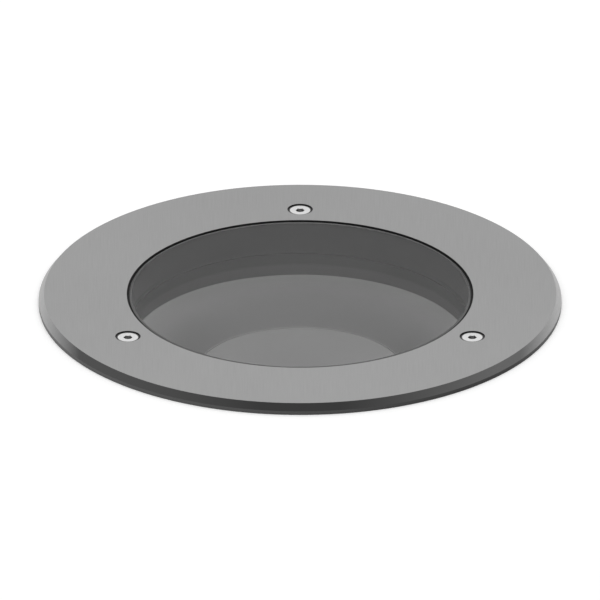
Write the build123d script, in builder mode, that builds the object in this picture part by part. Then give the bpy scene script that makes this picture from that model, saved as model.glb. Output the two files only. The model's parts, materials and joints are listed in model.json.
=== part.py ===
from build123d import *

import os
from math import cos, radians, sin

# In ground well light, in millimetres, +Z up. The origin is the centre of the
# trim ring's underside, which lies level with the paving. The lamp shines up
# through a stepped glass held under a stainless ring. Three captive screws pull
# the ring down onto a cast housing that is buried in the ground.

# ---- driving dimensions ----------------------------------------------------

# Trim ring
ring_radius = 132.5
ring_thickness = 5.4
ring_bevel_width = 2.65
ring_bevel_height = 3.4
opening_radius = 87.85

# Cover screws, M6 countersunk with a waisted neck that keeps them captive
screw_count = 3
first_screw_angle = 90
screw_circle_margin = 12.9
screw_length = 25.0
screw_thread_length = 8.5
screw_thread_radius = 3.0
screw_neck_radius = 2.45
screw_head_radius = 5.8
screw_head_recess = 0.5
screw_head_clearance = 0.15
screw_socket_width = 4.0
screw_socket_depth = 2.6
screw_hole_clearance = 0.3
countersink_angle = 90

# Washer that holds each cover screw in the ring
washer_radius = 5.5
washer_thickness = 1.6
washer_drop = 0.3
washer_neck_clearance = 0.05
washer_side_clearance = 0.5
thread_clearance = 0.05

# Stepped glass and the silicone that bonds it into the ring
glass_gap = 1.25
glass_recess = 0.5
glass_thickness = 15.0
glass_flange_width = 6.4
glass_arris_width = 1.1
glass_arris_height = 0.6
bond_top_recess = 0.65

# Cover gasket on the housing's seat
gasket_thickness = 2.4
gasket_inner_margin = 1.0
pocket_clearance = 0.6

# Spun reflector
reflector_sheet = 1.2
reflector_mouth_inset = 2.05
reflector_corner_depth = 24.2
reflector_cone_width = 33.2
reflector_aperture_depth = 38.2
reflector_rim_width = 3.6
reflector_rim_clearance = 0.4
reflector_wall_clearance = 0.4

# Opal diffuser cup over the light board
diffuser_clearance = 0.3
diffuser_wall = 2.0

# Eight-sided light board on its thermal pad
board_edge_clearance = 6.3
board_thickness = 1.6
pad_margin = 11.0
pad_thickness = 0.5
board_gap = 11.2
chip_width = 3.5
chip_height = 1.4
chip_ring_margins = (30.0, 14.0)
chip_ring_counts = (6, 12)
board_screw_margin = 5.0
board_screw_count = 2
connector_size = (9.0, 6.0, 4.0)
connector_mouth_width = 3.0
connector_margin = 22.0

# Heat spreader plate, with a slot for the leads
spreader_thickness = 6.0
spreader_edge_clearance = 0.6
spreader_screw_margin = 11.4
spreader_screw_count = 3
spreader_first_screw_angle = 30
lead_slot_length = 10.0
lead_slot_width = 3.0

# Cast housing
flange_margin = 10.25
flange_thickness = 6.0
skirt_wall = 4.0
pocket_wall = 4.0
seat_wall = 3.5
bowl_wall = 3.8
ledge_thickness = 7.0
box_inner_radius = 64.0
box_wall = 4.0
box_depth = 52.0
box_floor = 8.0
bowl_bottom_chamfer = 5.0
base_chamfer = 2.0
rib_count = 18
rib_thickness = 3.0
rib_setback = 8.0
rib_foot_setback = 15.0
rib_root = 1.4
screw_boss_radius = 7.0
screw_boss_depth = 25.0

# Side entries low in the housing: cable gland and blanking plug
entry_depth = 90.0
entry_boss_radius = 16.0
entry_boss_height = 4.0
entry_pad_height = 2.5
entry_angles = (0, 180)
entry_thread_radius = 10.0
entry_thread_length = 9.0
entry_hex_width = 24.0

# Cable gland
gland_hex_thickness = 5.0
gland_barrel_radius = 9.2
gland_barrel_length = 10.0
gland_bore_radius = 6.5
gland_seal_seat_radius = 8.0
gland_seal_seat_depth = 8.0
gland_seal_bore_radius = 5.0
gland_seal_length = 12.0
gland_nut_length = 19.0
gland_nut_hex_length = 12.0
gland_nut_nose_radius = 10.0
gland_nut_gap = 1.5
gland_nut_mouth_radius = 6.4
gland_fit_clearance = 0.1

# Blanking plug
plug_hex_thickness = 4.5
plug_socket_width = 8.0
plug_socket_depth = 3.0

# Driver, push-in terminals and earth screw in the lower box
driver_size = (70.0, 42.0, 26.0)
driver_centre_y = -20.0
driver_ear_length = 12.0
driver_ear_width = 18.0
driver_ear_thickness = 3.0
driver_edge_chamfer = 1.5
driver_outlet_size = (4.0, 8.0, 5.0)
terminal_size = (36.0, 20.0, 16.0)
terminal_centre_y = 36.0
terminal_poles = 3
terminal_pitch = 11.0
terminal_clamp_size = (7.0, 16.0, 7.5)
terminal_mouth_width = 4.4
terminal_slot_size = (1.6, 3.0)
terminal_tab_length = 9.0
terminal_tab_thickness = 3.0
earth_position = (-44.0, 20.0)
earth_boss_radius = 5.0
earth_boss_height = 6.0

# Small hexagon screws: shank radius, length, head width, head height
m3_screw = (1.5, 8.0, 5.5, 2.4)
m4_screw = (2.0, 10.0, 7.0, 3.0)
screw_fit_clearance = 0.2
hole_tip_margin = 1.0

# ---- sizes and levels that follow; levels are heights above the paving ---------

glass_radius = opening_radius - glass_gap
glass_top = ring_thickness - glass_recess
glass_bottom = glass_top - glass_thickness
glass_flange_radius = glass_radius + glass_flange_width
screw_circle_radius = opening_radius + screw_circle_margin
flange_radius = screw_circle_radius + flange_margin
seat_level = glass_bottom - gasket_thickness
pocket_radius = glass_flange_radius + pocket_clearance
reflector_mouth_radius = opening_radius - reflector_mouth_inset
reflector_aperture_radius = reflector_mouth_radius - reflector_cone_width
reflector_rim_radius = reflector_mouth_radius + reflector_rim_width
rebate_radius = reflector_rim_radius + reflector_rim_clearance
rebate_level = seat_level - reflector_sheet
bowl_radius = reflector_mouth_radius + reflector_sheet + reflector_wall_clearance
skirt_level = seat_level - seat_wall

diffuser_top = -reflector_aperture_depth
diffuser_radius = reflector_aperture_radius - diffuser_clearance
diffuser_inner_radius = diffuser_radius - diffuser_wall
board_width = 2 * (diffuser_inner_radius - board_edge_clearance)
board_screw_circle_radius = board_width / 2 - board_screw_margin
chip_ring_radii = [board_width / 2 - margin for margin in chip_ring_margins]
connector_offset = board_width / 2 - connector_margin
pad_width = board_width - 2 * pad_margin
spreader_screw_circle_radius = bowl_radius - spreader_screw_margin
board_top = diffuser_top - diffuser_wall - board_gap
board_bottom = board_top - board_thickness
spreader_top = board_bottom - pad_thickness
spreader_bottom = spreader_top - spreader_thickness
ledge_level = spreader_bottom
ledge_underside = ledge_level - ledge_thickness
box_floor_level = ledge_level - box_depth
base_level = box_floor_level - box_floor

screw_top = ring_thickness - screw_head_recess
screw_tip = screw_top - screw_length
thread_start = screw_tip + screw_thread_length
screw_hole_radius = screw_thread_radius + screw_hole_clearance
countersink_radius = screw_head_radius + screw_head_clearance + screw_head_recess
washer_top = -washer_drop
washer_bottom = washer_top - washer_thickness
washer_recess_depth = washer_drop + washer_thickness + washer_side_clearance

cover_screw_angles = [first_screw_angle + 360 / screw_count * i for i in range(screw_count)]
rib_angles = [first_screw_angle + 360 / rib_count * i for i in range(rib_count)]
pocket_outer_radius = pocket_radius + pocket_wall
skirt_inner_radius = flange_radius - skirt_wall
bowl_outer_radius = bowl_radius + bowl_wall
rib_reach = flange_radius - rib_setback
rib_foot_reach = flange_radius - rib_foot_setback
box_outer_radius = box_inner_radius + box_wall

driver_ear_centre = (driver_size[0] + driver_ear_length) / 2
driver_ears_length = driver_size[0] + 2 * driver_ear_length
terminal_wire_level = box_floor_level + terminal_size[2] / 2
terminal_tab_centre_y = terminal_centre_y - (terminal_size[1] + terminal_tab_length) / 2
earth_seat = box_floor_level + earth_boss_height

entry_level = -entry_depth
entry_face = box_outer_radius + entry_boss_height
entry_inner_face = box_inner_radius - entry_pad_height


# ---- shared shapes -----------------------------------------------------------


def polar_point(radius, angle, height=0.0):
    """Point at a radius and an angle about the light's axis."""
    return (radius * cos(radians(angle)), radius * sin(radians(angle)), height)


def polar_points(radius, count, first_angle, height=0.0):
    """Evenly spaced points round the light's axis."""
    return [polar_point(radius, first_angle + 360 / count * i, height) for i in range(count)]


def upright_plane(angle):
    """Plane through the light's axis, with local X outwards and local Y up."""
    return Plane(
        origin=(0, 0, 0),
        x_dir=polar_point(1, angle),
        z_dir=(sin(radians(angle)), -cos(radians(angle)), 0),
    )


def entry_plane(angle, distance):
    """Plane that faces outwards at the height of the side entries."""
    return Plane(
        origin=polar_point(distance, angle, entry_level),
        x_dir=(0, 0, 1),
        z_dir=polar_point(1, angle),
    )


def turned(points, plane=Plane.XY):
    """Spin a closed half section of (radius, height) points about a plane's normal."""
    section_plane = Plane(origin=plane.origin, x_dir=plane.x_dir, z_dir=-plane.y_dir)
    with BuildSketch(section_plane) as section:
        with BuildLine():
            Polyline(*points, close=True)
        make_face()
    revolve(section.sketch, axis=Axis(plane.origin, plane.z_dir))


def bars(points, radius, start, end, mode=Mode.ADD, plane=Plane.XY):
    """Round bars or holes along a plane's normal, one at each point on it."""
    with BuildSketch(plane.offset(start)) as section:
        with Locations(*[(point[0], point[1]) for point in points]):
            Circle(radius)
    extrude(section.sketch, amount=end - start, mode=mode)


def bar_along(plane, radius, start, end, mode=Mode.ADD):
    """One round bar or hole along a plane's normal."""
    bars([(0, 0)], radius, start, end, mode, plane)


def hexagons(points, width, start, end, mode=Mode.ADD, plane=Plane.XY):
    """Hexagonal bars or sockets along a plane's normal, by their width across flats."""
    with BuildSketch(plane.offset(start)) as section:
        with Locations(*[(point[0], point[1]) for point in points]):
            RegularPolygon(radius=width / 2, side_count=6, major_radius=False)
    extrude(section.sketch, amount=end - start, mode=mode)


def hexagon_along(plane, width, start, end, mode=Mode.ADD):
    """One hexagonal bar or socket along a plane's normal."""
    hexagons([(0, 0)], width, start, end, mode, plane)


def blocks(points, size, bottom, top, mode=Mode.ADD):
    """Upright blocks or wells of one (x, y) size, one at each point."""
    with BuildSketch(Plane.XY.offset(bottom)) as section:
        with Locations(*[(point[0], point[1]) for point in points]):
            Rectangle(size[0], size[1])
    extrude(section.sketch, amount=top - bottom, mode=mode)


def octagon(width, bottom, top):
    """Eight-sided plate on the light's axis, by its width across flats."""
    with BuildSketch(Plane.XY.offset(bottom)) as section:
        RegularPolygon(radius=width / 2, side_count=8, major_radius=False)
    extrude(section.sketch, amount=top - bottom)


def hex_screws(points, head_seat, size):
    """Hexagon screws that point down, one at each point, with heads on a seat."""
    shank_radius, length, head_width, head_height = size
    hexagons(points, head_width, head_seat, head_seat + head_height)
    bars(points, shank_radius, head_seat - length, head_seat)


def screw_sockets(points, surface, size, seat_thickness):
    """Blind holes for the same screws, below a piece of some thickness."""
    depth = size[1] - seat_thickness + hole_tip_margin
    bars(points, size[0], surface - depth, surface, Mode.SUBTRACT)


def clearance_holes(points, bottom, top, size):
    """Through holes for the same screws in the piece that they hold down."""
    bars(points, size[0] + screw_fit_clearance, bottom, top, Mode.SUBTRACT)


def export(piece, name):
    """Label a finished piece and write it."""
    piece.part.label = name
    export_step(piece.part, f"parts/{name}.step")


os.makedirs("parts", exist_ok=True)

# ---- cover: ring, glass and bond -------------------------------------------

with BuildPart() as trim_ring:
    turned(
        [
            (opening_radius, 0),
            (ring_radius, 0),
            (ring_radius, ring_thickness - ring_bevel_height),
            (ring_radius - ring_bevel_width, ring_thickness),
            (opening_radius, ring_thickness),
        ]
    )
    with Locations((0, 0, ring_thickness)):
        with PolarLocations(screw_circle_radius, screw_count, start_angle=first_screw_angle):
            CounterSinkHole(
                radius=screw_hole_radius,
                counter_sink_radius=countersink_radius,
                depth=ring_thickness,
                counter_sink_angle=countersink_angle,
            )
export(trim_ring, "trim_ring")

# The glass's flange lies against the underside of the ring.
with BuildPart() as lens_glass:
    turned(
        [
            (0, glass_bottom),
            (glass_flange_radius, glass_bottom),
            (glass_flange_radius, 0),
            (glass_radius, 0),
            (glass_radius, glass_top - glass_arris_height),
            (glass_radius - glass_arris_width, glass_top),
            (0, glass_top),
        ]
    )
export(lens_glass, "lens_glass")

# Black silicone fills the joint between glass and ring.
with BuildPart() as lens_bond:
    turned(
        [
            (glass_radius, 0),
            (opening_radius, 0),
            (opening_radius, ring_thickness - bond_top_recess),
            (glass_radius, ring_thickness - bond_top_recess),
        ]
    )
export(lens_bond, "lens_bond")

# ---- cover screws and their captive washers --------------------------------

screw_neck_top = screw_top - (screw_head_radius - screw_neck_radius)
screw_section = [
    (0, screw_tip),
    (screw_thread_radius, screw_tip),
    (screw_thread_radius, thread_start),
    (screw_neck_radius, thread_start),
    (screw_neck_radius, screw_neck_top),
    (screw_head_radius, screw_top),
    (0, screw_top),
]
washer_section = [
    (screw_neck_radius + washer_neck_clearance, washer_bottom),
    (washer_radius, washer_bottom),
    (washer_radius, washer_top),
    (screw_neck_radius + washer_neck_clearance, washer_top),
]

for number, angle in enumerate(cover_screw_angles, start=1):
    screw_plane = Plane(origin=polar_point(screw_circle_radius, angle))

    with BuildPart() as cover_screw:
        turned(screw_section, screw_plane)
        socket_floor = screw_top - screw_socket_depth
        hexagon_along(screw_plane, screw_socket_width, socket_floor, screw_top, Mode.SUBTRACT)
    export(cover_screw, f"cover_screw_{number}")

    with BuildPart() as retaining_washer:
        turned(washer_section, screw_plane)
    export(retaining_washer, f"retaining_washer_{number}")

# ---- cast housing ------------------------------------------------------------

# A wide bowl holds the optics and a narrower box below it holds the driver. The
# flange at the top is cored from below and closed by a skirt, and the ledge
# between bowl and box carries the heat spreader.
housing_section = [
    (pocket_radius, 0),
    (flange_radius, 0),
    (flange_radius, skirt_level),
    (skirt_inner_radius, skirt_level),
    (skirt_inner_radius, -flange_thickness),
    (pocket_outer_radius, -flange_thickness),
    (pocket_outer_radius, skirt_level),
    (bowl_outer_radius, skirt_level),
    (bowl_outer_radius, ledge_underside + bowl_bottom_chamfer),
    (bowl_outer_radius - bowl_bottom_chamfer, ledge_underside),
    (box_outer_radius, ledge_underside),
    (box_outer_radius, base_level + base_chamfer),
    (box_outer_radius - base_chamfer, base_level),
    (0, base_level),
    (0, box_floor_level),
    (box_inner_radius, box_floor_level),
    (box_inner_radius, ledge_level),
    (bowl_radius, ledge_level),
    (bowl_radius, rebate_level),
    (rebate_radius, rebate_level),
    (rebate_radius, seat_level),
    (pocket_radius, seat_level),
]
rib_top = rib_root - flange_thickness
rib_seat = skirt_level + rib_root
rib_foot = ledge_underside + bowl_bottom_chamfer
rib_section = [
    (pocket_outer_radius - rib_root, rib_top),
    (skirt_inner_radius + rib_root, rib_top),
    (skirt_inner_radius + rib_root, rib_seat),
    (rib_reach, skirt_level - seat_wall),
    (rib_foot_reach, rib_foot),
    (bowl_outer_radius - rib_root, rib_foot),
    (bowl_outer_radius - rib_root, rib_seat),
    (pocket_outer_radius - rib_root, rib_seat),
]

cover_screw_points = polar_points(screw_circle_radius, screw_count, first_screw_angle)
spreader_screw_points = polar_points(
    spreader_screw_circle_radius, spreader_screw_count, spreader_first_screw_angle
)
driver_screw_points = [(side * driver_ear_centre, driver_centre_y) for side in (-1, 1)]
terminal_screw_points = [(0, terminal_tab_centre_y)]

with BuildPart() as casting:
    turned(housing_section)

    # Ribs brace the flange against the bowl and carry heat into the ground.
    with BuildSketch(*[upright_plane(angle) for angle in rib_angles]):
        with BuildLine():
            Polyline(*rib_section, close=True)
        make_face()
    extrude(amount=rib_thickness / 2, both=True)

    # Bosses for the cover screws, in line with three of the ribs
    bars(cover_screw_points, screw_boss_radius, rib_top, -screw_boss_depth)

    # Round bosses with flat faces for the side entries
    for angle in entry_angles:
        bar_along(entry_plane(angle, 0), entry_boss_radius, entry_inner_face, entry_face)

    # Boss for the earth screw
    bars([earth_position], earth_boss_radius, box_floor_level - box_floor / 2, earth_seat)

    # Washer recesses and tapped holes for the cover screws
    with PolarLocations(screw_circle_radius, screw_count, start_angle=first_screw_angle):
        CounterBoreHole(
            radius=screw_thread_radius + thread_clearance,
            counter_bore_radius=washer_radius + washer_side_clearance,
            counter_bore_depth=washer_recess_depth,
            depth=hole_tip_margin - screw_tip,
        )

    # Tapped side entries
    for angle in entry_angles:
        hole_radius = entry_thread_radius + thread_clearance
        bar_along(entry_plane(angle, 0), hole_radius, entry_inner_face, entry_face, Mode.SUBTRACT)

    # Blind holes for the inner screws
    screw_sockets(spreader_screw_points, ledge_level, m4_screw, spreader_thickness)
    screw_sockets(driver_screw_points, box_floor_level, m3_screw, driver_ear_thickness)
    screw_sockets(terminal_screw_points, box_floor_level, m3_screw, terminal_tab_thickness)
    screw_sockets([earth_position], earth_seat, m3_screw, 0)

# The casting is written as two pieces that meet face to face under its ledge.
casting_split = Plane.XY.offset(ledge_underside)

with BuildPart() as housing:
    add(casting.part)
    split(bisect_by=casting_split, keep=Keep.TOP)
export(housing, "housing")

with BuildPart() as driver_box:
    add(casting.part)
    split(bisect_by=casting_split, keep=Keep.BOTTOM)
export(driver_box, "driver_box")

# ---- seal, reflector and diffuser --------------------------------------------

with BuildPart() as cover_gasket:
    turned(
        [
            (reflector_mouth_radius + gasket_inner_margin, seat_level),
            (glass_flange_radius, seat_level),
            (glass_flange_radius, glass_bottom),
            (reflector_mouth_radius + gasket_inner_margin, glass_bottom),
        ]
    )
export(cover_gasket, "cover_gasket")

# The spun reflector hangs by its rim in the housing's rebate. Its wall runs down
# to a corner, and its cone runs in from there to the diffuser.
with BuildPart() as reflector:
    with BuildSketch(Plane.XZ):
        with BuildLine():
            Polyline(
                (reflector_rim_radius, seat_level),
                (reflector_mouth_radius, seat_level),
                (reflector_mouth_radius, -reflector_corner_depth),
                (reflector_aperture_radius, -reflector_aperture_depth),
            )
            offset(amount=reflector_sheet, side=Side.LEFT, kind=Kind.INTERSECTION)
        make_face()
    revolve(axis=Axis.Z)
export(reflector, "reflector")

with BuildPart() as diffuser:
    turned(
        [
            (0, diffuser_top - diffuser_wall),
            (diffuser_inner_radius, diffuser_top - diffuser_wall),
            (diffuser_inner_radius, spreader_top),
            (diffuser_radius, spreader_top),
            (diffuser_radius, diffuser_top),
            (0, diffuser_top),
        ]
    )
export(diffuser, "diffuser")

# ---- light board, its pad and the heat spreader --------------------------------

board_screw_points = polar_points(board_screw_circle_radius, board_screw_count, 0)

with BuildPart() as thermal_pad:
    octagon(pad_width, spreader_top, board_bottom)
export(thermal_pad, "thermal_pad")

with BuildPart() as light_board:
    octagon(board_width, board_bottom, board_top)
    clearance_holes(board_screw_points, board_bottom, board_top, m3_screw)
export(light_board, "light_board")

with BuildPart() as light_chips:
    with BuildSketch(Plane.XY.offset(board_top)):
        for circle_radius, chip_count in zip(chip_ring_radii, chip_ring_counts):
            with PolarLocations(circle_radius, chip_count):
                Rectangle(chip_width, chip_width)
    extrude(amount=chip_height)
export(light_chips, "light_chips")

# Plug-in connector for the two light board leads
connector_length, connector_width, connector_height = connector_size
connector_mouth = Plane(
    origin=(0, -connector_offset - connector_width / 2, board_top + connector_height / 2),
    z_dir=(0, -1, 0),
)
with BuildPart() as board_connector:
    blocks([(0, -connector_offset)], connector_size, board_top, board_top + connector_height)
    with BuildSketch(connector_mouth):
        with GridLocations(connector_length / 2, 0, 2, 1):
            Rectangle(connector_mouth_width, connector_height / 2)
    extrude(amount=-connector_width / 2, mode=Mode.SUBTRACT)
export(board_connector, "board_connector")

lead_slot_offset = (board_width / 2 + diffuser_inner_radius) / 2
with BuildPart() as heat_spreader:
    bars([(0, 0)], bowl_radius - spreader_edge_clearance, spreader_bottom, spreader_top)
    blocks(
        [(0, -lead_slot_offset)],
        (lead_slot_length, lead_slot_width),
        spreader_bottom,
        spreader_top,
        Mode.SUBTRACT,
    )
    clearance_holes(spreader_screw_points, spreader_bottom, spreader_top, m4_screw)
    screw_sockets(board_screw_points, spreader_top, m3_screw, board_top - spreader_top)
export(heat_spreader, "heat_spreader")

with BuildPart() as spreader_screws:
    hex_screws(spreader_screw_points, spreader_top, m4_screw)
export(spreader_screws, "spreader_screws")

# ---- driver, terminals and earth screw -------------------------------------------

driver_point = (0, driver_centre_y)
driver_top = box_floor_level + driver_size[2]
outlet_length, outlet_width, outlet_height = driver_outlet_size
outlet_points = [
    (side * (driver_size[0] + outlet_length) / 2, driver_centre_y) for side in (-1, 1)
]
with BuildPart() as led_driver:
    blocks([driver_point], driver_size, box_floor_level, driver_top)
    chamfer(led_driver.faces().sort_by(Axis.Z)[-1].edges(), driver_edge_chamfer)
    ear_top = box_floor_level + driver_ear_thickness
    blocks([driver_point], (driver_ears_length, driver_ear_width), box_floor_level, ear_top)
    outlet_bottom = (box_floor_level + driver_top) / 2
    blocks(outlet_points, driver_outlet_size, outlet_bottom, outlet_bottom + outlet_height)
    clearance_holes(driver_screw_points, box_floor_level, ear_top, m3_screw)
export(led_driver, "led_driver")

# Three-pole push-in block: a sprung brass cage in each tunnel, a release slot
# above each end of it, and a tab for the fixing screw
cage_width, cage_length, cage_height = terminal_clamp_size
terminal_top = box_floor_level + terminal_size[2]
tab_top = box_floor_level + terminal_tab_thickness
cage_top = terminal_wire_level + cage_height / 2
pole_xs = [terminal_pitch * (i - (terminal_poles - 1) / 2) for i in range(terminal_poles)]
pole_points = [(x, terminal_centre_y) for x in pole_xs]
release_points = [
    (x, terminal_centre_y + side * cage_length / 4) for x in pole_xs for side in (-1, 1)
]
wire_plane = Plane(
    origin=(0, terminal_centre_y, terminal_wire_level),
    x_dir=(1, 0, 0),
    z_dir=(0, -1, 0),
)

with BuildPart() as terminal_block:
    blocks([(0, terminal_centre_y)], terminal_size, box_floor_level, terminal_top)
    tab_length = terminal_tab_length + terminal_size[1] / 2
    tab_centre = terminal_centre_y - tab_length / 2
    blocks([(0, tab_centre)], (terminal_pitch, tab_length), box_floor_level, tab_top)
    cage_bottom = terminal_wire_level - cage_height / 2
    blocks(pole_points, terminal_clamp_size, cage_bottom, cage_top, Mode.SUBTRACT)
    with BuildSketch(wire_plane):
        with Locations(*[(x, 0) for x in pole_xs]):
            Rectangle(terminal_mouth_width, terminal_mouth_width)
    extrude(amount=terminal_size[1] / 2, both=True, mode=Mode.SUBTRACT)
    blocks(release_points, terminal_slot_size, cage_top, terminal_top, Mode.SUBTRACT)
    clearance_holes(terminal_screw_points, box_floor_level, tab_top, m3_screw)
export(terminal_block, "terminal_block")

with BuildPart() as terminal_clamps:
    blocks(pole_points, terminal_clamp_size, cage_bottom, cage_top)
    with BuildSketch(wire_plane):
        with Locations(*[(x, 0) for x in pole_xs]):
            Rectangle(terminal_mouth_width, terminal_mouth_width)
    extrude(amount=cage_length / 2, both=True, mode=Mode.SUBTRACT)
export(terminal_clamps, "terminal_clamps")

# One kind of screw holds the light board, the driver, the terminals and the earth lead.
with BuildPart() as inner_screws:
    hex_screws(board_screw_points, board_top, m3_screw)
    hex_screws(driver_screw_points, ear_top, m3_screw)
    hex_screws(terminal_screw_points, tab_top, m3_screw)
    hex_screws([earth_position], earth_seat, m3_screw)
export(inner_screws, "inner_screws")

# ---- cable gland and blanking plug -----------------------------------------------

# Distances here run outwards from the flat face of each entry's boss.
gland_plane = entry_plane(entry_angles[0], entry_face)
plug_plane = entry_plane(entry_angles[1], entry_face)
barrel_end = gland_hex_thickness + gland_barrel_length
seal_start = barrel_end - gland_seal_seat_depth
seal_end = seal_start + gland_seal_length
seal_radius = gland_seal_seat_radius - gland_fit_clearance
nut_start = gland_hex_thickness + gland_nut_gap
nut_hex_end = nut_start + gland_nut_hex_length
nut_end = nut_start + gland_nut_length

with BuildPart() as gland_body:
    bar_along(gland_plane, entry_thread_radius, -entry_thread_length, 0)
    hexagon_along(gland_plane, entry_hex_width, 0, gland_hex_thickness)
    bar_along(gland_plane, gland_barrel_radius, gland_hex_thickness, barrel_end)
    bar_along(gland_plane, gland_bore_radius, -entry_thread_length, barrel_end, Mode.SUBTRACT)
    bar_along(gland_plane, gland_seal_seat_radius, seal_start, barrel_end, Mode.SUBTRACT)
export(gland_body, "gland_body")

with BuildPart() as gland_seal:
    bar_along(gland_plane, seal_radius, seal_start, seal_end)
    bar_along(gland_plane, gland_seal_bore_radius, seal_start, seal_end, Mode.SUBTRACT)
export(gland_seal, "gland_seal")

# The nut's inner shoulder presses on the seal's outer end.
with BuildPart() as gland_nut:
    hexagon_along(gland_plane, entry_hex_width, nut_start, nut_hex_end)
    bar_along(gland_plane, gland_nut_nose_radius, nut_hex_end, nut_end)
    bar_along(
        gland_plane,
        gland_barrel_radius + gland_fit_clearance,
        nut_start,
        seal_end,
        Mode.SUBTRACT,
    )
    bar_along(gland_plane, gland_nut_mouth_radius, seal_end, nut_end, Mode.SUBTRACT)
export(gland_nut, "gland_nut")

with BuildPart() as blanking_plug:
    bar_along(plug_plane, entry_thread_radius, -entry_thread_length, 0)
    hexagon_along(plug_plane, entry_hex_width, 0, plug_hex_thickness)
    hexagon_along(
        plug_plane,
        plug_socket_width,
        plug_hex_thickness - plug_socket_depth,
        plug_hex_thickness,
        Mode.SUBTRACT,
    )
export(blanking_plug, "blanking_plug")
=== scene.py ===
import json
from math import cos, radians, sin, tan, tau

import bpy
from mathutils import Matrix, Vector


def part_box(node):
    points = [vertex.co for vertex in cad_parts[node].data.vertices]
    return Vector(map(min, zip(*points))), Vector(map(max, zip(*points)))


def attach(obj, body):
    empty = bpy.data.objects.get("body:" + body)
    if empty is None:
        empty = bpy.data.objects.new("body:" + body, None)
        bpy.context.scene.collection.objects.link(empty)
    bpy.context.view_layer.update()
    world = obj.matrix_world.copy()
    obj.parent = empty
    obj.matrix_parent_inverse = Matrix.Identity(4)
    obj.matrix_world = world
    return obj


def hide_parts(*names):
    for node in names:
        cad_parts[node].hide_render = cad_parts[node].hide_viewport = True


# Looks, light and camera of the in ground well light. Metres, +Z up, paving at z = 0.

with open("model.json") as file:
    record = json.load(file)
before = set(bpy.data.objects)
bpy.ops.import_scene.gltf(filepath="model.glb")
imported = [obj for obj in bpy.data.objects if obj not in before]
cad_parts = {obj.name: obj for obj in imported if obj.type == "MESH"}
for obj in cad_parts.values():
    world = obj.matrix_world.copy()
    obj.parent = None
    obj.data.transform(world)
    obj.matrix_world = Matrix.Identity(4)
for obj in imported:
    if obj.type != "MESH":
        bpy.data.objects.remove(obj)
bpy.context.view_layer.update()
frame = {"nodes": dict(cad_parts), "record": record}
nodes = frame["nodes"]

MM = 0.001

# ---- sizes, from the frame where it holds them -------------------------------

RING_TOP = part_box("trim_ring")[1].z
FLANGE_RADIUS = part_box("housing")[1].x
OPENING_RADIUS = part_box("lens_bond")[1].x
GLASS_GAP = 1.25 * MM
GLASS_RADIUS = OPENING_RADIUS - GLASS_GAP
GLASS_BOTTOM, GLASS_TOP = (corner.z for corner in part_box("lens_glass"))
GLASS_FLANGE_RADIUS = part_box("lens_glass")[1].x
ARRIS_WIDTH = 1.1 * MM
ARRIS_HEIGHT = 0.6 * MM
GASKET_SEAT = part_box("cover_gasket")[0].z
GASKET_BORE_RADIUS = 86.9 * MM
SEAT_RADIUS = 94.0 * MM

SCREW_NAMES = [f"cover_screw_{number}" for number in (1, 2, 3)]


def middle(node):
    """Centre of a node's box."""
    low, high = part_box(node)
    return (low + high) / 2


SCREW_AXES = [middle(name) for name in SCREW_NAMES]
SCREW_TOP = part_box(SCREW_NAMES[0])[1].z
SCREW_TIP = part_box(SCREW_NAMES[0])[0].z
HEAD_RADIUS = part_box(SCREW_NAMES[0])[1].x - SCREW_AXES[0].x
HEAD_RIM = 0.12 * MM
THREAD_RADIUS = 3.0 * MM
THREAD_DEPTH = 0.6 * MM
THREAD_LENGTH = 8.5 * MM
THREAD_PITCH = 1.0 * MM
NECK_RADIUS = 2.45 * MM
SOCKET_WIDTH = 4.0 * MM
SOCKET_DEPTH = 2.6 * MM
SOCKET_LEAD_IN = 0.15 * MM
SOCKET_POINT = 0.8 * MM
COUNTERSINK_RADIUS = 6.7 * MM
BOSS_BORE_RADIUS = 6.05 * MM
BOSS_BORE_TOP = -2.3 * MM
BOSS_BORE_END = -26.0 * MM

REFLECTOR_BAND = (-19.2 * MM, -17.6 * MM)
REFLECTOR_CORNER = (-21.0 * MM, -22.0 * MM)
CONE_LIGHT_SPAN = (55.0 * MM, 85.0 * MM)
REFLECTOR_APERTURE = 53.0 * MM
OPAL_SHADE = (12.0 * MM, 52.0 * MM)


# ---- materials -----------------------------------------------------------------


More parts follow.
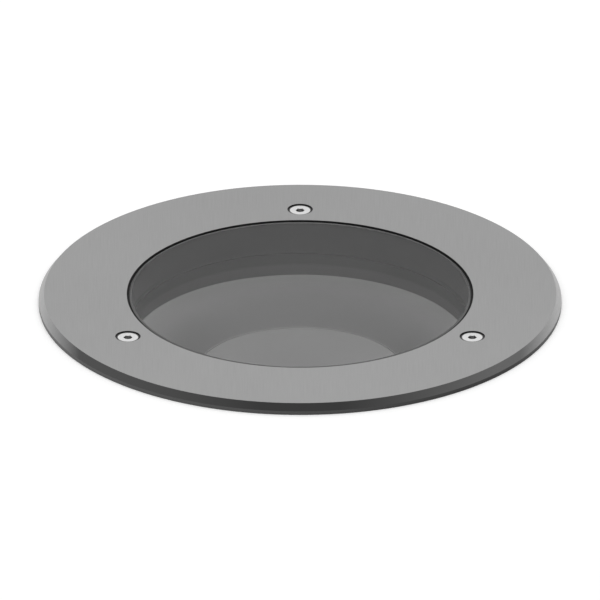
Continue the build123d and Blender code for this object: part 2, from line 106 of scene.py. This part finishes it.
class Finish:
    """One material being built round its Principled shader."""

    def __init__(self, name):
        self.material = bpy.data.materials.new(name)
        self.material.use_nodes = True
        self.tree = self.material.node_tree
        self.shader = self.tree.nodes["Principled BSDF"]
        coordinates = self.tree.nodes.new("ShaderNodeTexCoord")
        self.place = coordinates.outputs["Object"]
        self.facing = coordinates.outputs["Normal"]

    def node(self, kind, inputs, output=0, **settings):
        """Add a node, feed its inputs by name or number, and give one of its outputs."""
        made = self.tree.nodes.new(kind)
        for key, value in settings.items():
            setattr(made, key, value)
        for key, value in inputs.items():
            self.feed(made.inputs[key], value)
        return made.outputs[output]

    def feed(self, socket, value):
        """Link a socket to another one, or set its constant."""
        if isinstance(value, bpy.types.NodeSocket):
            self.tree.links.new(value, socket)
        else:
            socket.default_value = value

    def set(self, **sockets):
        """Set sockets of the shader, with _ for a space in their names."""
        for key, value in sockets.items():
            self.feed(self.shader.inputs[key.replace("_", " ")], value)

    def math(self, operation, *values):
        return self.node("ShaderNodeMath", dict(enumerate(values)), operation=operation)

    def times(self, first, second):
        """Product of two values, so the overlap of two masks."""
        return self.math("MULTIPLY", first, second)

    def shares(self, first, share, second):
        """Sum of two values: the first has its share, and the second the rest."""
        return self.math("ADD", self.times(first, share), self.times(second, 1 - share))

    def axes(self, vector):
        """The x, y and z of a vector."""
        parts = self.tree.nodes.new("ShaderNodeSeparateXYZ")
        self.feed(parts.inputs[0], vector)
        return parts.outputs

    def stretched(self, x, y, z):
        """Coordinates for a grain: a large factor makes it fine along that axis."""
        mapping = {"Vector": self.place, "Scale": (x, y, z)}
        return self.node("ShaderNodeMapping", mapping)

    def noise(self, vector, scale, detail=3.0, roughness=0.5):
        values = {"Vector": vector, "Scale": scale, "Detail": detail, "Roughness": roughness}
        return self.node("ShaderNodeTexNoise", values)

    def span(self, value, low, high, to_low=0.0, to_high=1.0):
        """Carry a value from one range to another, clamped."""
        values = {0: value, 1: low, 2: high, 3: to_low, 4: to_high}
        return self.node("ShaderNodeMapRange", values)

    def mix(self, factor, first, second):
        """Blend two colours."""
        values = {"Factor": factor, 6: first, 7: second}
        return self.node("ShaderNodeMix", values, output=2, data_type="RGBA")

    def bump(self, height, distance, strength, below=None):
        values = {"Height": height, "Distance": distance, "Strength": strength}
        if below is not None:
            values["Normal"] = below
        return self.node("ShaderNodeBump", values)

    def radius(self, centre=(0, 0)):
        """Distance from an upright axis."""
        squares = [
            self.times(offset, offset)
            for offset in (
                self.math("SUBTRACT", place, middle_place)
                for place, middle_place in zip(self.axes(self.place), centre)
            )
        ]
        return self.math("SQRT", self.math("ADD", *squares))

    def screw_radius(self):
        """Distance from the nearest cover screw's axis."""
        first, second, third = (self.radius((axis.x, axis.y)) for axis in SCREW_AXES)
        return self.math("MINIMUM", first, self.math("MINIMUM", second, third))

    def height(self):
        return self.axes(self.place)[2]

    def tilt(self):
        """How far a face looks up: 1 on a floor, 0 on a wall, -1 on an underside."""
        return self.axes(self.facing)[2]

    def rings(self, pitch):
        """Turned grain: noise that changes only with the distance from the axis."""
        line = self.node("ShaderNodeCombineXYZ", {"X": self.math("DIVIDE", self.radius(), pitch)})
        return self.noise(line, 1.0, 2.0)

    def skin(self, grain, relief, roughness):
        """Fine skin of a moulding. Gives its noise."""
        skin = self.noise(self.place, grain, 4.0, 0.6)
        self.set(Roughness=self.span(skin, 0.2, 0.8, roughness - 0.05, roughness + 0.05))
        self.set(Normal=self.bump(skin, relief * MM, 0.5))
        return skin


def grey(level):
    return (level, level, level, 1.0)


def ring_finish():
    """Stainless plate, brushed along Y, with a darker ground bevel and outer wall.

    The bevel is painted darkest in the middle of its front and back, a painted shade,
    and lighter to the sides, with a painted highlight most at the far left and right.
    One side of the bevel and of the outer wall is painted lighter than the other,
    painted light and shade. The countersinks are painted near black, a painted shade.
    """
    finish = Finish("brushed_stainless")
    streaks = finish.noise(finish.stretched(2600, 40, 2600), 1.0, 4.0, 0.6)
    clouds = finish.noise(finish.place, 9.0, 1.0)
    grain = finish.shares(streaks, 0.8, clouds)
    plate = finish.mix(finish.span(grain, 0.3, 0.7), grey(0.268), grey(0.315))
    x = finish.axes(finish.place)[0]
    aside = finish.math("ABSOLUTE", x)
    # painted light and shade: the bevel is painted lighter on its right than on its left
    flank_shading = finish.mix(finish.span(x, -0.1, 0.1), grey(0.085), grey(0.14))
    # painted shade: the bevel is painted darkest in the middle of its front and back
    bevel = finish.mix(finish.span(aside, 0.02, 0.1), grey(0.045), flank_shading)
    # painted highlight on the bevel at the far left and right
    bevel = finish.mix(finish.span(aside, 0.112, 0.131), bevel, grey(0.42))
    # painted light and shade: the outer wall is painted lighter on its left than on its right
    edge_shading = finish.mix(finish.span(x, -0.1, 0.1), grey(0.115), grey(0.05))
    tilt = finish.tilt()
    outside = finish.mix(finish.span(tilt, 0.25, 0.35), edge_shading, bevel)
    outside = finish.mix(finish.times(streaks, 0.2), outside, grey(0.02))
    colour = finish.mix(finish.span(tilt, 0.88, 0.94), outside, plate)
    # painted shade: the countersink round each screw is painted near black
    countersink_shade_zone = finish.span(
        finish.screw_radius(), COUNTERSINK_RADIUS + 0.2 * MM, COUNTERSINK_RADIUS
    )
    sunk = finish.times(countersink_shade_zone, finish.span(tilt, 0.96, 0.9))
    finish.set(Base_Color=finish.mix(sunk, colour, grey(0.012)), Metallic=1.0)
    finish.set(Roughness=finish.span(streaks, 0.2, 0.8, 0.36, 0.46))
    finish.set(Normal=finish.bump(streaks, 0.02 * MM, 0.35))
    return finish.material


def glass_finish():
    """Clear pane with a ground arris, and with printed sides that show dark grey.

    The arris is dark from outside and painted pale from inside the glass, a painted
    highlight. The print is paler at the bottom than at the top, painted light that
    lifts the shade lower down.
    """
    finish = Finish("clear_glass")
    height = finish.height()
    radius = finish.radius()
    blur = 0.05 * MM
    arris_start = GLASS_RADIUS - ARRIS_WIDTH
    outside = finish.span(radius, arris_start - blur, arris_start + blur)
    tilt = finish.math("ABSOLUTE", finish.tilt())
    sloped = finish.times(outside, finish.span(tilt, 0.99, 0.97))
    flange = finish.span(radius, GLASS_RADIUS + 0.02 * MM, GLASS_RADIUS + 0.06 * MM)
    ground = finish.math("MAXIMUM", sloped, flange)
    arris_end = GLASS_TOP - ARRIS_HEIGHT
    below_arris = finish.span(height, arris_end, arris_end - blur)
    mottle = finish.noise(finish.place, 900.0, 4.0, 0.6)
    from_inside = finish.node("ShaderNodeNewGeometry", {}, "Backfacing")
    # painted highlight: the arris is painted pale where it is seen from inside the glass
    arris = finish.mix(from_inside, finish.mix(mottle, grey(0.07), grey(0.1)), grey(0.9))
    # painted light: the print is painted paler towards the bottom, lifting the shade there
    level = finish.span(height, GLASS_BOTTOM, GLASS_TOP, 0.155, 0.138)
    printed = finish.node("ShaderNodeCombineColor", {0: level, 1: level, 2: level})
    edges = finish.mix(below_arris, arris, printed)
    haze = finish.span(finish.noise(finish.place, 30.0, 2.0), 0.3, 0.7, 0.035, 0.05)
    finish.set(Base_Color=finish.mix(ground, grey(0.5), edges))
    finish.set(Roughness=finish.span(ground, 0.0, 1.0, 0.03, 0.5))
    finish.set(IOR=1.5, Alpha=finish.math("MAXIMUM", haze, ground))
    return finish.material


def bond_finish():
    """Matt black silicone, paler on the thin lip that stands above the glass."""
    finish = Finish("black_silicone")
    skin = finish.noise(finish.place, 700.0, 3.0)
    inside = finish.span(finish.radius(), GLASS_RADIUS + 0.1 * MM, GLASS_RADIUS + 0.05 * MM)
    upright = finish.span(finish.math("ABSOLUTE", finish.tilt()), 0.6, 0.4)
    black = finish.mix(skin, grey(0.001), grey(0.003))
    colour = finish.mix(finish.times(inside, upright), black, grey(0.4))
    finish.set(Base_Color=colour, Roughness=0.6, Specular_IOR_Level=0.1)
    finish.set(Normal=finish.bump(skin, 0.05 * MM, 0.3))
    return finish.material


def screw_finish():
    """Bright stainless head with a painted dark shade ring at its rim, and a duller socket and
    turned shank.
    """
    finish = Finish("bright_stainless")
    turning = finish.noise(finish.place, 2400.0, 3.0, 0.6)
    bright = finish.mix(finish.span(turning, 0.3, 0.7), grey(0.62), grey(0.7))
    dull = finish.mix(turning, grey(0.3), grey(0.42))
    radius = finish.screw_radius()
    height = finish.height()
    # painted shade: a dark ring is painted round the rim of the head
    shade_ring_start = HEAD_RADIUS - 0.6 * MM
    head = finish.mix(finish.span(radius, shade_ring_start - 0.1 * MM, shade_ring_start), bright, grey(0.06))
    face = finish.span(height, SCREW_TOP - 0.25 * MM, SCREW_TOP - 0.2 * MM)
    within = finish.span(radius, SOCKET_WIDTH * 0.6, SOCKET_WIDTH * 0.6 - 0.05 * MM)
    bottom = SCREW_TOP - SOCKET_DEPTH - SOCKET_POINT - 0.2 * MM
    above = finish.span(height, bottom, bottom + 0.1 * MM)
    below = finish.span(height, SCREW_TOP - 0.05 * MM, SCREW_TOP - SOCKET_LEAD_IN)
    sunk = finish.times(finish.times(within, above), below)
    colour = finish.mix(sunk, finish.mix(face, dull, head), grey(0.4))
    finish.set(Base_Color=colour, Metallic=1.0)
    finish.set(Roughness=finish.span(turning, 0.2, 0.8, 0.26, 0.36))
    finish.set(Normal=finish.bump(turning, 0.01 * MM, 0.3))
    return finish.material


def moulded(name, dark, light, roughness, grain=1200.0, relief=0.03):
    """Moulded plastic or rubber with a fine skin."""
    finish = Finish(name)
    tone = finish.shares(
        finish.skin(grain, relief, roughness), 0.5, finish.noise(finish.place, 25.0, 2.0)
    )
    finish.set(Base_Color=finish.mix(finish.span(tone, 0.3, 0.7), dark, light))
    return finish


def metal(name, dark, light, roughness):
    """Plated or turned metal with a faint grain."""
    finish = Finish(name)
    grains = finish.noise(finish.place, 1800.0, 4.0, 0.65)
    finish.set(Base_Color=finish.mix(finish.span(grains, 0.3, 0.7), dark, light), Metallic=1.0)
    finish.set(Roughness=finish.span(grains, 0.2, 0.8, roughness - 0.05, roughness + 0.06))
    finish.set(Normal=finish.bump(grains, 0.01 * MM, 0.4))
    return finish.material


def spreader_finish():
    """Faced aluminium with turning marks round the light's axis."""
    finish = Finish("faced_aluminium")
    marks = finish.rings(0.3 * MM)
    finish.set(Base_Color=finish.mix(marks, grey(0.5104), grey(0.6264)), Metallic=1.0)
    finish.set(Roughness=finish.span(marks, 0.2, 0.8, 0.28, 0.4))
    finish.set(Normal=finish.bump(marks, 0.02 * MM, 0.4))
    return finish.material


def housing_finish():
    """Textured dark powder coat; flange top, gasket seat and screw bores are bare metal."""
    finish = Finish("powder_coat")
    orange_peel = finish.noise(finish.place, 1500.0, 5.0, 0.6)
    swell = finish.noise(finish.place, 60.0, 2.0)
    dark, light = (0.026, 0.027, 0.029, 1), (0.036, 0.037, 0.039, 1)
    paint = finish.mix(finish.span(swell, 0.3, 0.7), dark, light)
    paint = finish.mix(finish.span(orange_peel, 0.55, 0.75), paint, grey(0.05))
    bare = finish.mix(finish.rings(0.35 * MM), grey(0.5), grey(0.62))
    height = finish.height()
    level = finish.span(finish.tilt(), 0.97, 0.99)
    top = finish.span(height, -0.2 * MM, -0.1 * MM)
    seat = finish.times(
        finish.span(height, GASKET_SEAT - 0.1 * MM, GASKET_SEAT - 0.05 * MM),
        finish.span(finish.radius(), SEAT_RADIUS + 0.5 * MM, SEAT_RADIUS),
    )
    faced = finish.times(level, finish.math("MAXIMUM", top, seat))
    bored = finish.times(
        finish.span(finish.screw_radius(), BOSS_BORE_RADIUS + 0.05 * MM, BOSS_BORE_RADIUS),
        finish.span(height, BOSS_BORE_END, BOSS_BORE_END + 0.1 * MM),
    )
    metallic = finish.math("MAXIMUM", faced, bored)
    turns = finish.math("SINE", finish.times(height, tau / THREAD_PITCH))
    threads = finish.times(
        finish.times(turns, finish.span(height, BOSS_BORE_TOP, BOSS_BORE_TOP - 0.3 * MM)), bored
    )
    finish.set(Base_Color=finish.mix(metallic, paint, bare), Metallic=metallic)
    finish.set(Roughness=finish.span(metallic, 0.0, 1.0, 0.55, 0.35))
    relief = finish.bump(orange_peel, 0.12 * MM, 0.6)
    finish.set(Normal=finish.bump(threads, 0.25 * MM, 0.6, relief))
    return finish.material


def reflector_finish():
    """Satin aluminium: a dark upright wall, and a cone below its corner that is painted lighter
    towards its rim, painted light in the shade the wall casts.
    """
    finish = Finish("satin_reflector")
    marks = finish.rings(0.8 * MM)
    height = finish.height()
    radius = finish.radius()
    wall = finish.mix(finish.span(height, *REFLECTOR_BAND), grey(0.198), grey(0.162))
    # painted light: the cone is painted lighter towards its rim, lifting the shade the wall casts
    # in the corner
    outward = finish.span(radius, *CONE_LIGHT_SPAN)
    cone = finish.mix(finish.times(outward, outward), grey(0.152), grey(0.36))
    below_corner = finish.span(height, *REFLECTOR_CORNER)
    sloped = finish.times(finish.span(finish.tilt(), 0.4, 0.6), below_corner)
    aperture = finish.span(radius, REFLECTOR_APERTURE + 0.1 * MM, REFLECTOR_APERTURE)
    colour = finish.mix(aperture, finish.mix(sloped, wall, cone), grey(0.24))
    colour = finish.mix(finish.times(marks, 0.1), colour, grey(0.18))
    finish.set(Base_Color=colour, Metallic=0.35)
    finish.set(Roughness=finish.span(marks, 0.2, 0.8, 0.5, 0.56))
    finish.set(Normal=finish.bump(marks, 0.01 * MM, 0.25))
    return finish.material


def opal_finish():
    """Opal disc, a little paler to its rim."""
    finish = Finish("opal_diffuser")
    grain = 600.0
    finish.skin(grain, 0.01, 0.45)
    outward = finish.span(finish.radius(), *OPAL_SHADE)
    shade = finish.mix(outward, grey(0.246), grey(0.302))
    speckle = finish.times(finish.noise(finish.place, grain), 0.1)
    finish.set(Base_Color=finish.mix(speckle, shade, grey(0.4)), Specular_IOR_Level=0.3)
    return finish.material


def rubber_finish():
    """Dark rubber. The cover gasket's inner face, seen through the glass, is painted paler,
    painted light that lifts the shade it lies in.
    """
    finish = moulded("seal_rubber", grey(0.03), grey(0.045), 0.7, 900.0, 0.06)
    body = finish.shader.inputs["Base Color"].links[0].from_socket
    # painted light: the gasket's inner face is painted paler than the rubber, lifting the shade it
    # lies in
    face = finish.times(
        finish.span(finish.radius(), GASKET_BORE_RADIUS + 0.1 * MM, GASKET_BORE_RADIUS),
        finish.span(finish.height(), GASKET_SEAT - 0.3 * MM, GASKET_SEAT - 0.2 * MM),
    )
    finish.set(Base_Color=finish.mix(face, body, grey(0.165)))
    return finish.material


def plain(*look):
    return moulded(*look).material


FINISHES = {
    "stainless_ring": ring_finish(),
    "glass": glass_finish(),
    "silicone": bond_finish(),
    "stainless_screw": screw_finish(),
    "nylon": plain("natural_nylon", (0.62, 0.6, 0.55, 1), (0.74, 0.72, 0.67, 1), 0.4),
    "housing_paint": housing_finish(),
    "seal_rubber": rubber_finish(),
    "reflector_metal": reflector_finish(),
    "opal": opal_finish(),
    "plated_steel": metal("zinc_plate", (0.5, 0.5, 0.49, 1), (0.6, 0.6, 0.58, 1), 0.35),
    "pad": plain("thermal_pad", (0.3, 0.32, 0.36, 1), (0.37, 0.39, 0.43, 1), 0.8),
    "board": plain("white_board", (0.72, 0.74, 0.72, 1), (0.8, 0.81, 0.79, 1), 0.4, 900.0, 0.01),
    "chip": plain("phosphor", (0.72, 0.52, 0.08, 1), (0.85, 0.66, 0.14, 1), 0.35),
    "white_plastic": plain("white_nylon", (0.7, 0.7, 0.66, 1), (0.78, 0.78, 0.74, 1), 0.42),
    "spreader_metal": spreader_finish(),
    "driver_case": plain("driver_case", (0.62, 0.62, 0.6, 1), (0.7, 0.7, 0.68, 1), 0.5),
    "terminal_brass": metal("brass_cage", (0.62, 0.44, 0.18, 1), (0.72, 0.53, 0.24, 1), 0.3),
    "gland_metal": metal("nickel_plate", (0.5, 0.48, 0.43, 1), (0.6, 0.58, 0.52, 1), 0.26),
}


def finish_nodes():
    """Give each CAD node the finish of its slot in the record."""
    for part in frame["record"]["subparts"]:
        mesh = nodes[part["node"]].data
        mesh.materials.clear()
        mesh.materials.append(FINISHES[part["material_slot"]])


# ---- meshes --------------------------------------------------------------------


def turned_ring(axis, radii, z):
    """Points round an upright axis at one height; radii gives one radius for each."""
    count = len(radii)
    return [
        Vector((axis.x + radius * cos(tau * i / count), axis.y + radius * sin(tau * i / count), z))
        for i, radius in enumerate(radii)
    ]


def bands(rings, closed=False):
    """Faces between rings of equally many points, and from the last to the first if closed."""
    count = len(rings[0])
    faces = []
    for level in range(len(rings) if closed else len(rings) - 1):
        low, high = level * count, (level + 1) % len(rings) * count
        for i in range(count):
            j = (i + 1) % count
            faces.append((low + i, low + j, high + j, high + i))
    return faces


def shaped(name, points, faces, smooth_below):
    """Object with smooth shading across edges flatter than an angle in degrees."""
    mesh = bpy.data.meshes.new(name)
    mesh.from_pydata(points, [], faces)
    mesh.validate()
    mesh.shade_smooth()
    mesh.set_sharp_from_angle(angle=radians(smooth_below))
    return placed(bpy.data.objects.new(name, mesh))


def placed(thing):
    """Put an object in the scene."""
    bpy.context.scene.collection.objects.link(thing)
    return thing


def capped(name, rings, first_centre, last_centre, smooth_below):
    """Closed mesh through rings of equally many points, capped at both ends."""
    count = len(rings[0])
    points = [point for ring in rings for point in ring] + [first_centre, last_centre]
    first, last = len(points) - 2, len(points) - 1
    faces = bands(rings)
    top = (len(rings) - 1) * count
    for i in range(count):
        j = (i + 1) % count
        faces.append((j, i, first))
        faces.append((top + i, top + j, last))
    return shaped(name, points, faces, smooth_below)


def stand_in(piece, node, body, slot):
    """Let a piece replace a CAD node, on its body and in its material slot."""
    piece.data.materials.append(FINISHES[slot])
    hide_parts(node)
    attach(piece, body)


# ---- cover screws with their threads and sockets -------------------------------

SCREW_SIDES = 48
THREAD_STEPS = 10
THREAD_FLANK = 1.25
SCREW_SMOOTH_BELOW = 32


def hexagon_radii(width):
    """Radii of a hexagon's outline, by its width across flats."""
    sixth = tau / 6
    return [
        width / 2 / cos((tau * i / SCREW_SIDES) % sixth - sixth / 2)
        for i in range(SCREW_SIDES)
    ]


def thread_rings(axis):
    """Rings up a right-hand thread that is bevelled at its tip and under the neck."""
    rings = []
    steps = round(THREAD_LENGTH / THREAD_PITCH * THREAD_STEPS)
    for step in range(steps + 1):
        rise = THREAD_LENGTH * step / steps
        ends = min(THREAD_RADIUS - THREAD_DEPTH + rise, NECK_RADIUS + THREAD_LENGTH - rise)
        radii = []
        for i in range(SCREW_SIDES):
            turn = (rise / THREAD_PITCH - i / SCREW_SIDES) % 1.0
            groove = THREAD_DEPTH * (1 - min(1.0, abs(2 * turn - 1) * THREAD_FLANK))
            radii.append(min(THREAD_RADIUS - groove, ends))
        rings.append(turned_ring(axis, radii, SCREW_TIP + rise))
    return rings


def threaded_screw(number, node):
    """Countersunk screw with a thread, a waisted neck and a hexagon socket."""
    axis = SCREW_AXES[number - 1]
    rings = thread_rings(axis)
    turned = [
        (NECK_RADIUS, SCREW_TIP + THREAD_LENGTH),
        (NECK_RADIUS, SCREW_TOP - (HEAD_RADIUS - NECK_RADIUS)),
        (HEAD_RADIUS - 2 * HEAD_RIM, SCREW_TOP - 2 * HEAD_RIM),
        (HEAD_RADIUS, SCREW_TOP - 2 * HEAD_RIM),
        (HEAD_RADIUS, SCREW_TOP - HEAD_RIM),
        (HEAD_RADIUS - HEAD_RIM, SCREW_TOP),
    ]
    for radius, z in turned:
        rings.append(turned_ring(axis, [radius] * SCREW_SIDES, z))
    hexagon = hexagon_radii(SOCKET_WIDTH)
    mouth = [max(radius, SOCKET_WIDTH * 0.56) for radius in hexagon]
    rings.append(turned_ring(axis, mouth, SCREW_TOP))
    rings.append(turned_ring(axis, hexagon, SCREW_TOP - SOCKET_LEAD_IN))
    rings.append(turned_ring(axis, hexagon, SCREW_TOP - SOCKET_DEPTH))
    tip = Vector((axis.x, axis.y, SCREW_TIP))
    socket_end = Vector((axis.x, axis.y, SCREW_TOP - SOCKET_DEPTH - SOCKET_POINT))
    screw = capped(f"threaded_screw_{number}", rings, tip, socket_end, SCREW_SMOOTH_BELOW)
    stand_in(screw, node, node, "stainless_screw")


# ---- stepped glass, as a clear core in a printed flange ---------------------------

GLASS_SIDES = 256
GLASS_SMOOTH_BELOW = 20
SKIN_GAP = 0.05 * MM


def glass_ring(radius, z):
    return turned_ring(Vector((0, 0, 0)), [radius] * GLASS_SIDES, z)


def stepped_glass():
    """The core is what the light shines through; the flange round it is printed all over."""
    radius = GLASS_RADIUS - SKIN_GAP
    core_rings = [
        glass_ring(radius, GLASS_BOTTOM),
        glass_ring(radius, GLASS_TOP - ARRIS_HEIGHT),
        glass_ring(radius - ARRIS_WIDTH, GLASS_TOP),
    ]
    ends = (Vector((0, 0, GLASS_BOTTOM)), Vector((0, 0, GLASS_TOP)))
    core = capped("glass_core", core_rings, *ends, GLASS_SMOOTH_BELOW)
    flange_rings = [
        glass_ring(GLASS_RADIUS, GLASS_BOTTOM),
        glass_ring(GLASS_FLANGE_RADIUS, GLASS_BOTTOM),
        glass_ring(GLASS_FLANGE_RADIUS, 0),
        glass_ring(GLASS_RADIUS, 0),
    ]
    points = [point for ring in flange_rings for point in ring]
    faces = bands(flange_rings, closed=True)
    flange = shaped("glass_flange", points, faces, GLASS_SMOOTH_BELOW)
    for piece in (core, flange):
        stand_in(piece, "lens_glass", "cover", "glass")


# ---- floor, light and camera -----------------------------------------------------

FLOOR_DROP = 0.1 * MM
FLOOR_REACH = 6.0
FLOOR_SIDES = 160
FLAT_REACH = 134 * MM
FLOOR_RISE = tan(radians(4))
FLOOR_GLOW = 0.3
HOLE_CLEARANCE = 0.6 * MM


def seen_rays(tree):
    """1 on rays from the camera and on those that gloss or glass sends on, otherwise 0."""
    path = tree.nodes.new("ShaderNodeLightPath")
    seen = path.outputs["Is Camera Ray"]
    for kind in ("Is Glossy Ray", "Is Transmission Ray"):
        either = tree.nodes.new("ShaderNodeMath")
        either.operation = "MAXIMUM"
        tree.links.new(seen, either.inputs[0])
        tree.links.new(path.outputs[kind], either.inputs[1])
        seen = either.outputs[0]
    return seen


def paving_finish():
    """White floor seen from above only, so that views from beside show the housing."""
    finish = Finish("paving")
    tree = finish.tree
    tree.nodes.remove(finish.shader)
    grit = finish.mix(finish.noise(finish.place, 60.0, 3.0), grey(0.8), grey(0.82))
    diffuse = finish.node("ShaderNodeBsdfDiffuse", {"Color": grit})
    strength = finish.times(seen_rays(tree), FLOOR_GLOW)
    glow = finish.node("ShaderNodeEmission", {"Color": grey(1.0), "Strength": strength})
    lit = finish.node("ShaderNodeAddShader", {0: diffuse, 1: glow})
    from_below = finish.node("ShaderNodeNewGeometry", {}, "Backfacing")
    clear = finish.node("ShaderNodeBsdfTransparent", {})
    either = finish.node("ShaderNodeMixShader", {0: from_below, 1: lit, 2: clear})
    tree.links.new(either, tree.nodes["Material Output"].inputs["Surface"])
    return finish.material


def paving():
    """Ground with the round hole that the housing hangs in.

    It is flat under and round the ring, and rises gently towards -Y and +X, so
    that level views from those sides see the housing below it.
    """
    rings = []
    for radius in (FLANGE_RADIUS + HOLE_CLEARANCE, FLAT_REACH, FLOOR_REACH):
        ring = []
        for i in range(FLOOR_SIDES):
            angle = tau * i / FLOOR_SIDES
            slope = FLOOR_RISE * (max(0, -sin(angle)) + max(0, cos(angle)))
            rise = slope * max(0, radius - FLAT_REACH)
            ring.append((radius * cos(angle), radius * sin(angle), rise - FLOOR_DROP))
        rings.append(ring)
    points = [point for ring in rings for point in ring]
    faces = [tuple(reversed(face)) for face in bands(rings)]
    mesh = bpy.data.meshes.new("paving")
    mesh.from_pydata(points, [], faces)
    mesh.materials.append(paving_finish())
    placed(bpy.data.objects.new("paving", mesh))


CAST_STRENGTH = 0.75


def daylight():
    """White surround, which casts an even and slightly dimmer light on matt faces."""
    world = bpy.data.worlds.new("studio")
    world.use_nodes = True
    tree = world.node_tree
    background = tree.nodes["Background"]
    background.inputs["Color"].default_value = grey(1.0)
    strength = tree.nodes.new("ShaderNodeMapRange")
    strength.inputs[3].default_value = CAST_STRENGTH
    strength.inputs[4].default_value = 1.0
    tree.links.new(seen_rays(tree), strength.inputs[0])
    tree.links.new(strength.outputs[0], background.inputs["Strength"])
    bpy.context.scene.world = world


LAMP_PLACE = (0.1, 0.4, 1.35)
LAMP_SIZE = 1.4
LAMP_WATTS = 5.0


def soft_lamp():
    """Large square lamp above and behind, turned to the origin."""
    lamp = bpy.data.lights.new("key", "AREA")
    lamp.size = LAMP_SIZE
    lamp.energy = LAMP_WATTS
    made = placed(bpy.data.objects.new("key", lamp))
    made.location = LAMP_PLACE
    made.rotation_euler = (-Vector(LAMP_PLACE)).to_track_quat("-Z", "Y").to_euler()


CAMERA_ELEVATION = radians(25.22)
CAMERA_DISTANCE = 1.5
PHOTO_WIDTH_PX = 600
PHOTO_PX_PER_MM = 1.9735
TOP_CENTRE_PX = (300.1, 293.9)


def photo_camera():
    """Parallel view from the photograph's side, with the ring where the photograph has it."""
    back = Vector((0, -cos(CAMERA_ELEVATION), sin(CAMERA_ELEVATION)))
    up = Vector((0, sin(CAMERA_ELEVATION), cos(CAMERA_ELEVATION)))
    px = MM / PHOTO_PX_PER_MM
    across, down = ((PHOTO_WIDTH_PX / 2 - place) * px for place in TOP_CENTRE_PX)
    target = Vector((across, 0, RING_TOP)) - up * down
    camera = bpy.data.cameras.new("photo_camera")
    camera.type = "ORTHO"
    camera.ortho_scale = PHOTO_WIDTH_PX * px
    made = placed(bpy.data.objects.new("photo_camera", camera))
    made.location = target + back * CAMERA_DISTANCE
    made.rotation_euler = back.to_track_quat("Z", "Y").to_euler()
    bpy.context.scene.camera = made


finish_nodes()
for number, node in enumerate(SCREW_NAMES, start=1):
    threaded_screw(number, node)
stepped_glass()
paving()
daylight()
soft_lamp()
photo_camera()
bpy.context.scene.view_settings.view_transform = "Standard"
